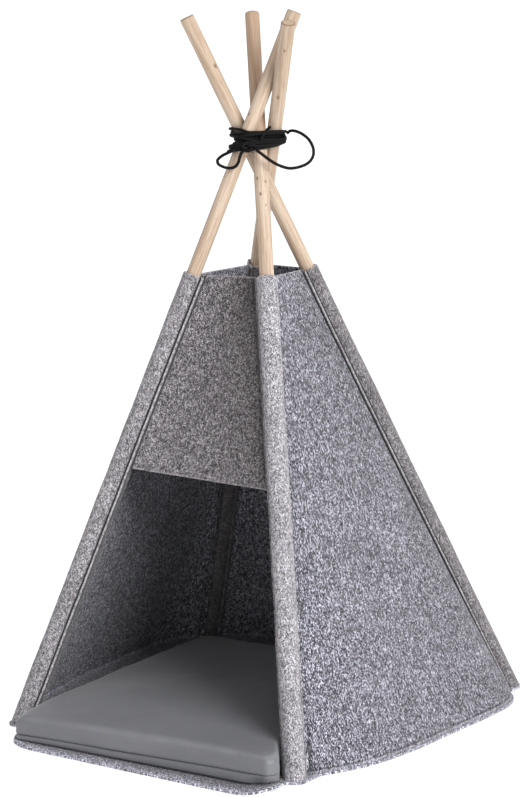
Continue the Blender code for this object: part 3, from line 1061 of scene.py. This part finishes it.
def lashing_route():
    """One cord wound up and back down round the bundle, its turns drawn together on the right."""
    right_angle = atan2(BOW_RIGHT.y, BOW_RIGHT.x)
    points = []
    for turn, now in enumerate(TURNS):
        after = TURNS[min(turn + 1, len(TURNS) - 1)]
        for index in range(TURN_SIDES):
            part = index / TURN_SIDES
            ease = part * part * (3 - 2 * part) if part > TURN_LEVEL else 0
            mixed = [first + (second - first) * ease for first, second in zip(now, after)]
            angle = 2 * pi * part + right_angle + TURN_START
            height = mixed[0] + mixed[1] * cos(angle - right_angle)
            height += 0.0004 * sin(3 * angle + now[3])
            spare = CORD_RADIUS * FIRST_LAYER + mixed[2] * CORD_RADIUS * NEXT_LAYER
            spare += 0.0003 * (1 + sin(2 * angle + now[3]))
            side = round(angle / (2 * pi) * TURN_SIDES) % TURN_SIDES
            points.append(bundle_corner(height, spare, side))
    smooth = np.array([tuple(point) for point in points])
    for _ in range(3):
        smooth[1:-1] = (smooth[:-2] + smooth[1:-1] * 2 + smooth[2:]) / 4
    return smooth


def knot_route():
    """A small overhand knot drawn tight."""
    wide, tall, deep = KNOT_SIZE
    points = []
    for step in range(KNOT_STEPS + 1):
        turn = 2 * pi * step / KNOT_STEPS
        right = (2 + cos(3 * turn)) * cos(2 * turn) * wide
        up = (2 + cos(3 * turn)) * sin(2 * turn) * tall
        front = sin(3 * turn) * deep
        points.append(bow_point(KNOT_CENTRE + Vector((right, up, front))))
    return points


def add_lashing(look):
    wraps, _ = braided_tube("lashing_turns", lashing_route(), look)
    knot, _ = braided_tube("lashing_knot", knot_route(), look)
    tail_points = smooth_route([bow_point(place) for place in TAIL], 4)
    tail, _ = braided_tube("lashing_tail", tail_points, look)
    pieces = [(wraps, "lash_wraps"), (knot, "lash_knot"), (tail, "lash_tail")]
    for side, places in (("right", RIGHT_LOOP), ("left", LEFT_LOOP)):
        route = smooth_route([bow_point(place) for place in places], 6)
        loop, line = braided_tube("bow_loop_" + side, route, look)
        pieces.append((loop, "lash_loop_" + side))
    for piece, node in pieces:
        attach(piece, "cover")
        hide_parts(node)


# ---- cushion

CUSHION_FRONT = -0.2405
CUSHION_BACK = 0.125
CUSHION_BOTTOM = 0.0028
CUSHION_TOP = 0.0428
CUSHION_SEAM = 0.0128
CUSHION_HALF = 0.160
CUSHION_CORNER = 0.0105
ARC_STEPS = 12
SIDE_STEPS = 56
# Each side's (half width, how much wider it gets at the front, from where, over what length).
# The right front corner bulges past the front sleeve.
CUSHION_LEFT = (0.1545, -0.0065, -0.215, 0.010)
CUSHION_RIGHT = (0.1585, 0.0255, -0.2080, 0.0080)
# The rounding of the lower and the upper edge.
LOW_ROUND = 0.0035
HIGH_ROUND = 0.0095
# How far the front edge lies back at the right, and how it rises there.
FRONT_SLANT = 0.0024
FRONT_RISE = 0.0036
CROWN_DROP = 0.0100
# How far the right front corner is drawn in below the seam.
CORNER_TAPER = 0.021
# (inset, height above the seam, painted shade of the seam line) of the rings about the seam.
SEAM_RINGS = [
    (-0.0003, -0.0016, 0.0), (0.0002, -0.0008, 0.0), (0.0013, -0.0002, 0.75),
    (0.0013, 0.0002, 0.75), (0.0000, 0.0009, 0.0), (-0.0004, 0.0020, 0.0), (-0.0005, 0.0040, 0.0),
    (-0.0004, 0.0065, 0.0), (0.0002, 0.0130, 0.0),
]


def rounded_outline(half_x, half_y, radius):
    """Points of a rounded rectangle about the origin, anticlockwise from its front right."""
    arcs = []
    for index, (sx, sy) in enumerate(((1, -1), (1, 1), (-1, 1), (-1, -1))):
        cx, cy = sx * (half_x - radius), sy * (half_y - radius)
        arc = []
        for step in range(ARC_STEPS + 1):
            angle = -pi / 2 + index * pi / 2 + pi / 2 * step / ARC_STEPS
            arc.append((cx + radius * cos(angle), cy + radius * sin(angle)))
        arcs.append(arc)
    points = []
    for arc, after in zip(arcs, arcs[1:] + arcs[:1]):
        points += arc
        (ax, ay), (bx, by) = arc[-1], after[0]
        for step in range(1, SIDE_STEPS):
            part = step / SIDE_STEPS
            points.append((ax + (bx - ax) * part, ay + (by - ay) * part))
    return points


def side_reach(y, right):
    """From the middle to the cushion's side."""
    half, wider, start, length = CUSHION_RIGHT if right else CUSHION_LEFT
    return half + wider / (1 + exp((y - start) / length))


def cushion_profile():
    """(share of the outline's size, inset in metres, height, painted shade) from the base's middle
    up.
    """
    bottom, top, seam = CUSHION_BOTTOM, CUSHION_TOP, CUSHION_SEAM
    rows = [(share, 0.0, bottom, 0.0) for share in np.linspace(0.03, 0.93, 14)]
    for step in range(7):
        angle = pi / 2 * step / 6
        inset, rise = LOW_ROUND * (1 - sin(angle)), LOW_ROUND * (1 - cos(angle))
        rows.append((1, inset, bottom + rise, 0.0))
    rows += [(1, inset, seam + rise, painted_crease_shade) for inset, rise, painted_crease_shade in SEAM_RINGS]
    high = top - seam - 0.0160
    for step in range(1, 15):
        angle = pi / 2 * step / 14
        inset, drop = HIGH_ROUND * (1 - cos(angle)), high * (1 - sin(angle))
        rows.append((1, inset, top - drop, 0.0))
    rows += [(share, HIGH_ROUND, top, 0.0) for share in np.linspace(0.988, 0.03, 36)]
    return rows


def side_move(x, y, half_y, below, dark):
    """How far the cushion's side stands out: soft dents, puckers, corner folds and a taper."""
    corner = bell(abs(x), 0.152, 0.012) * bell(abs(y), half_y - 0.008, 0.012)
    pucker = sin(atan2(y, x) * 150) * 0.00025
    fold = cos(atan2(abs(y) - half_y + 0.03, abs(x) - 0.13) * 14) * 0.0009 * corner
    lean = wave((x, y, 0.2), 0.045, 9.0) * 0.0011 + pucker * (0.4 + dark)
    taper = CORNER_TAPER * corner * below if x > 0 and y < 0 else 0
    return lean + fold - taper


def make_cushion(look):
    """The stuffed cushion, sculpted as rings from the middle of its base to that of its top."""
    half_x, half_y = CUSHION_HALF, (CUSHION_BACK - CUSHION_FRONT) / 2
    middle_y = (CUSHION_BACK + CUSHION_FRONT) / 2
    outline = rounded_outline(half_x, half_y, CUSHION_CORNER)
    places, painted_crease_shade, painted_ridge_highlight = [], [], []
    for share, inset, height, dark in cushion_profile():
        up = (height - CUSHION_SEAM) / (CUSHION_TOP - CUSHION_SEAM)
        above_base = (height - CUSHION_BOTTOM) / (CUSHION_SEAM - CUSHION_BOTTOM)
        below = max(0.0, min(1.0, 1 - above_base))
        side = max(0.0, 1 - abs(1 - share) / 0.02)
        for x, y in outline:
            reach = hypot(x, y)
            px = x * share * (half_x - inset) / half_x
            py = y * share * (half_y - inset) / half_y
            px *= side_reach(middle_y + y * share, x > 0) / half_x
            py += (px / half_x + 1) * (1 - py / half_y) * FRONT_SLANT
            move = side_move(x, y, half_y, below, dark) * side
            front = 0.5 - py / (2 * half_y)
            z = height + (1 - below) * front * px / half_x * FRONT_RISE
            if up > 0:
                crown = max(0, 1 - abs(px / half_x) ** 2.6) * max(0, 1 - abs(py / half_y) ** 2.6)
                dents = wave((px, py, 0), 0.09, 11.0) * 0.0010
                dents += wave((px, py, 0), 0.03, 13.0) * 0.0003
                z += up * (dents - (1 - crown) * CROWN_DROP)
            elif height > CUSHION_BOTTOM + 0.005:
                z += wave((x, y, 0.4), 0.05, 15.0) * 0.0007
            places.append((px + x / reach * move, middle_y + py + y / reach * move, z))
            # Painted shadow along the lowest rows where the cushion meets the floor, and painted
            # shade along the seam.
            painted_crease_shade.append(max(dark, 1.0 if height < CUSHION_BOTTOM + 0.0022 else 0))
            # Painted highlight band along the upper edge.
            painted_highlight = bell(height, CUSHION_TOP - 0.0030, 0.0035) if share == 1 else 0.0
            painted_ridge_highlight.append(painted_highlight * (0.75 + 0.5 * wave((x, y, 0.9), 0.02, 17.0)))
    faces = tube_faces(len(places) // len(outline), len(outline))
    return add_mesh("cushion", places, faces, look, {"painted_crease_shade": painted_crease_shade, "painted_ridge_highlight": painted_ridge_highlight})


# ---- assembly


def main():
    cord = cord_material()
    add_studio()
    add_lashing(cord)

    wall_felt = felt_material("wall_felt", WALL_TONES, 0.21)
    valance_felt = felt_material("valance_felt", VALANCE_TONES, 0.6)
    sleeve_felt = felt_material("sleeve_felt", SLEEVE_TONES, 0.5)

    for seed, (node, panel) in enumerate(PANELS.items()):
        look = valance_felt if node == "valance_front" else wall_felt
        piece = make_panel("felt_" + node, panel, look, seed * 7.0)
        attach(piece, "cover")
        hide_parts(node)

    for seed, corner in enumerate(CORNERS):
        sleeve = make_sleeve(corner, sleeve_felt, seed * 5.0 + 2)
        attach(sleeve, "cover")
        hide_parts("sleeve_" + corner)

    floor = make_floor(wall_felt)
    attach(floor, "cover")
    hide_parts("floor_panel")

    wood = birch_material()
    for seed, corner in enumerate(CORNERS):
        dowel = make_dowel(corner, wood, seed * 3.0)
        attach(dowel, "pole_" + corner)
        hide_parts("pole_" + corner)

    cushion = make_cushion(cushion_material())
    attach(cushion, "cushion")
    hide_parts("cushion_cover_top", "cushion_cover_bottom", "cushion_foam")


main()
bpy.context.view_layer.update()
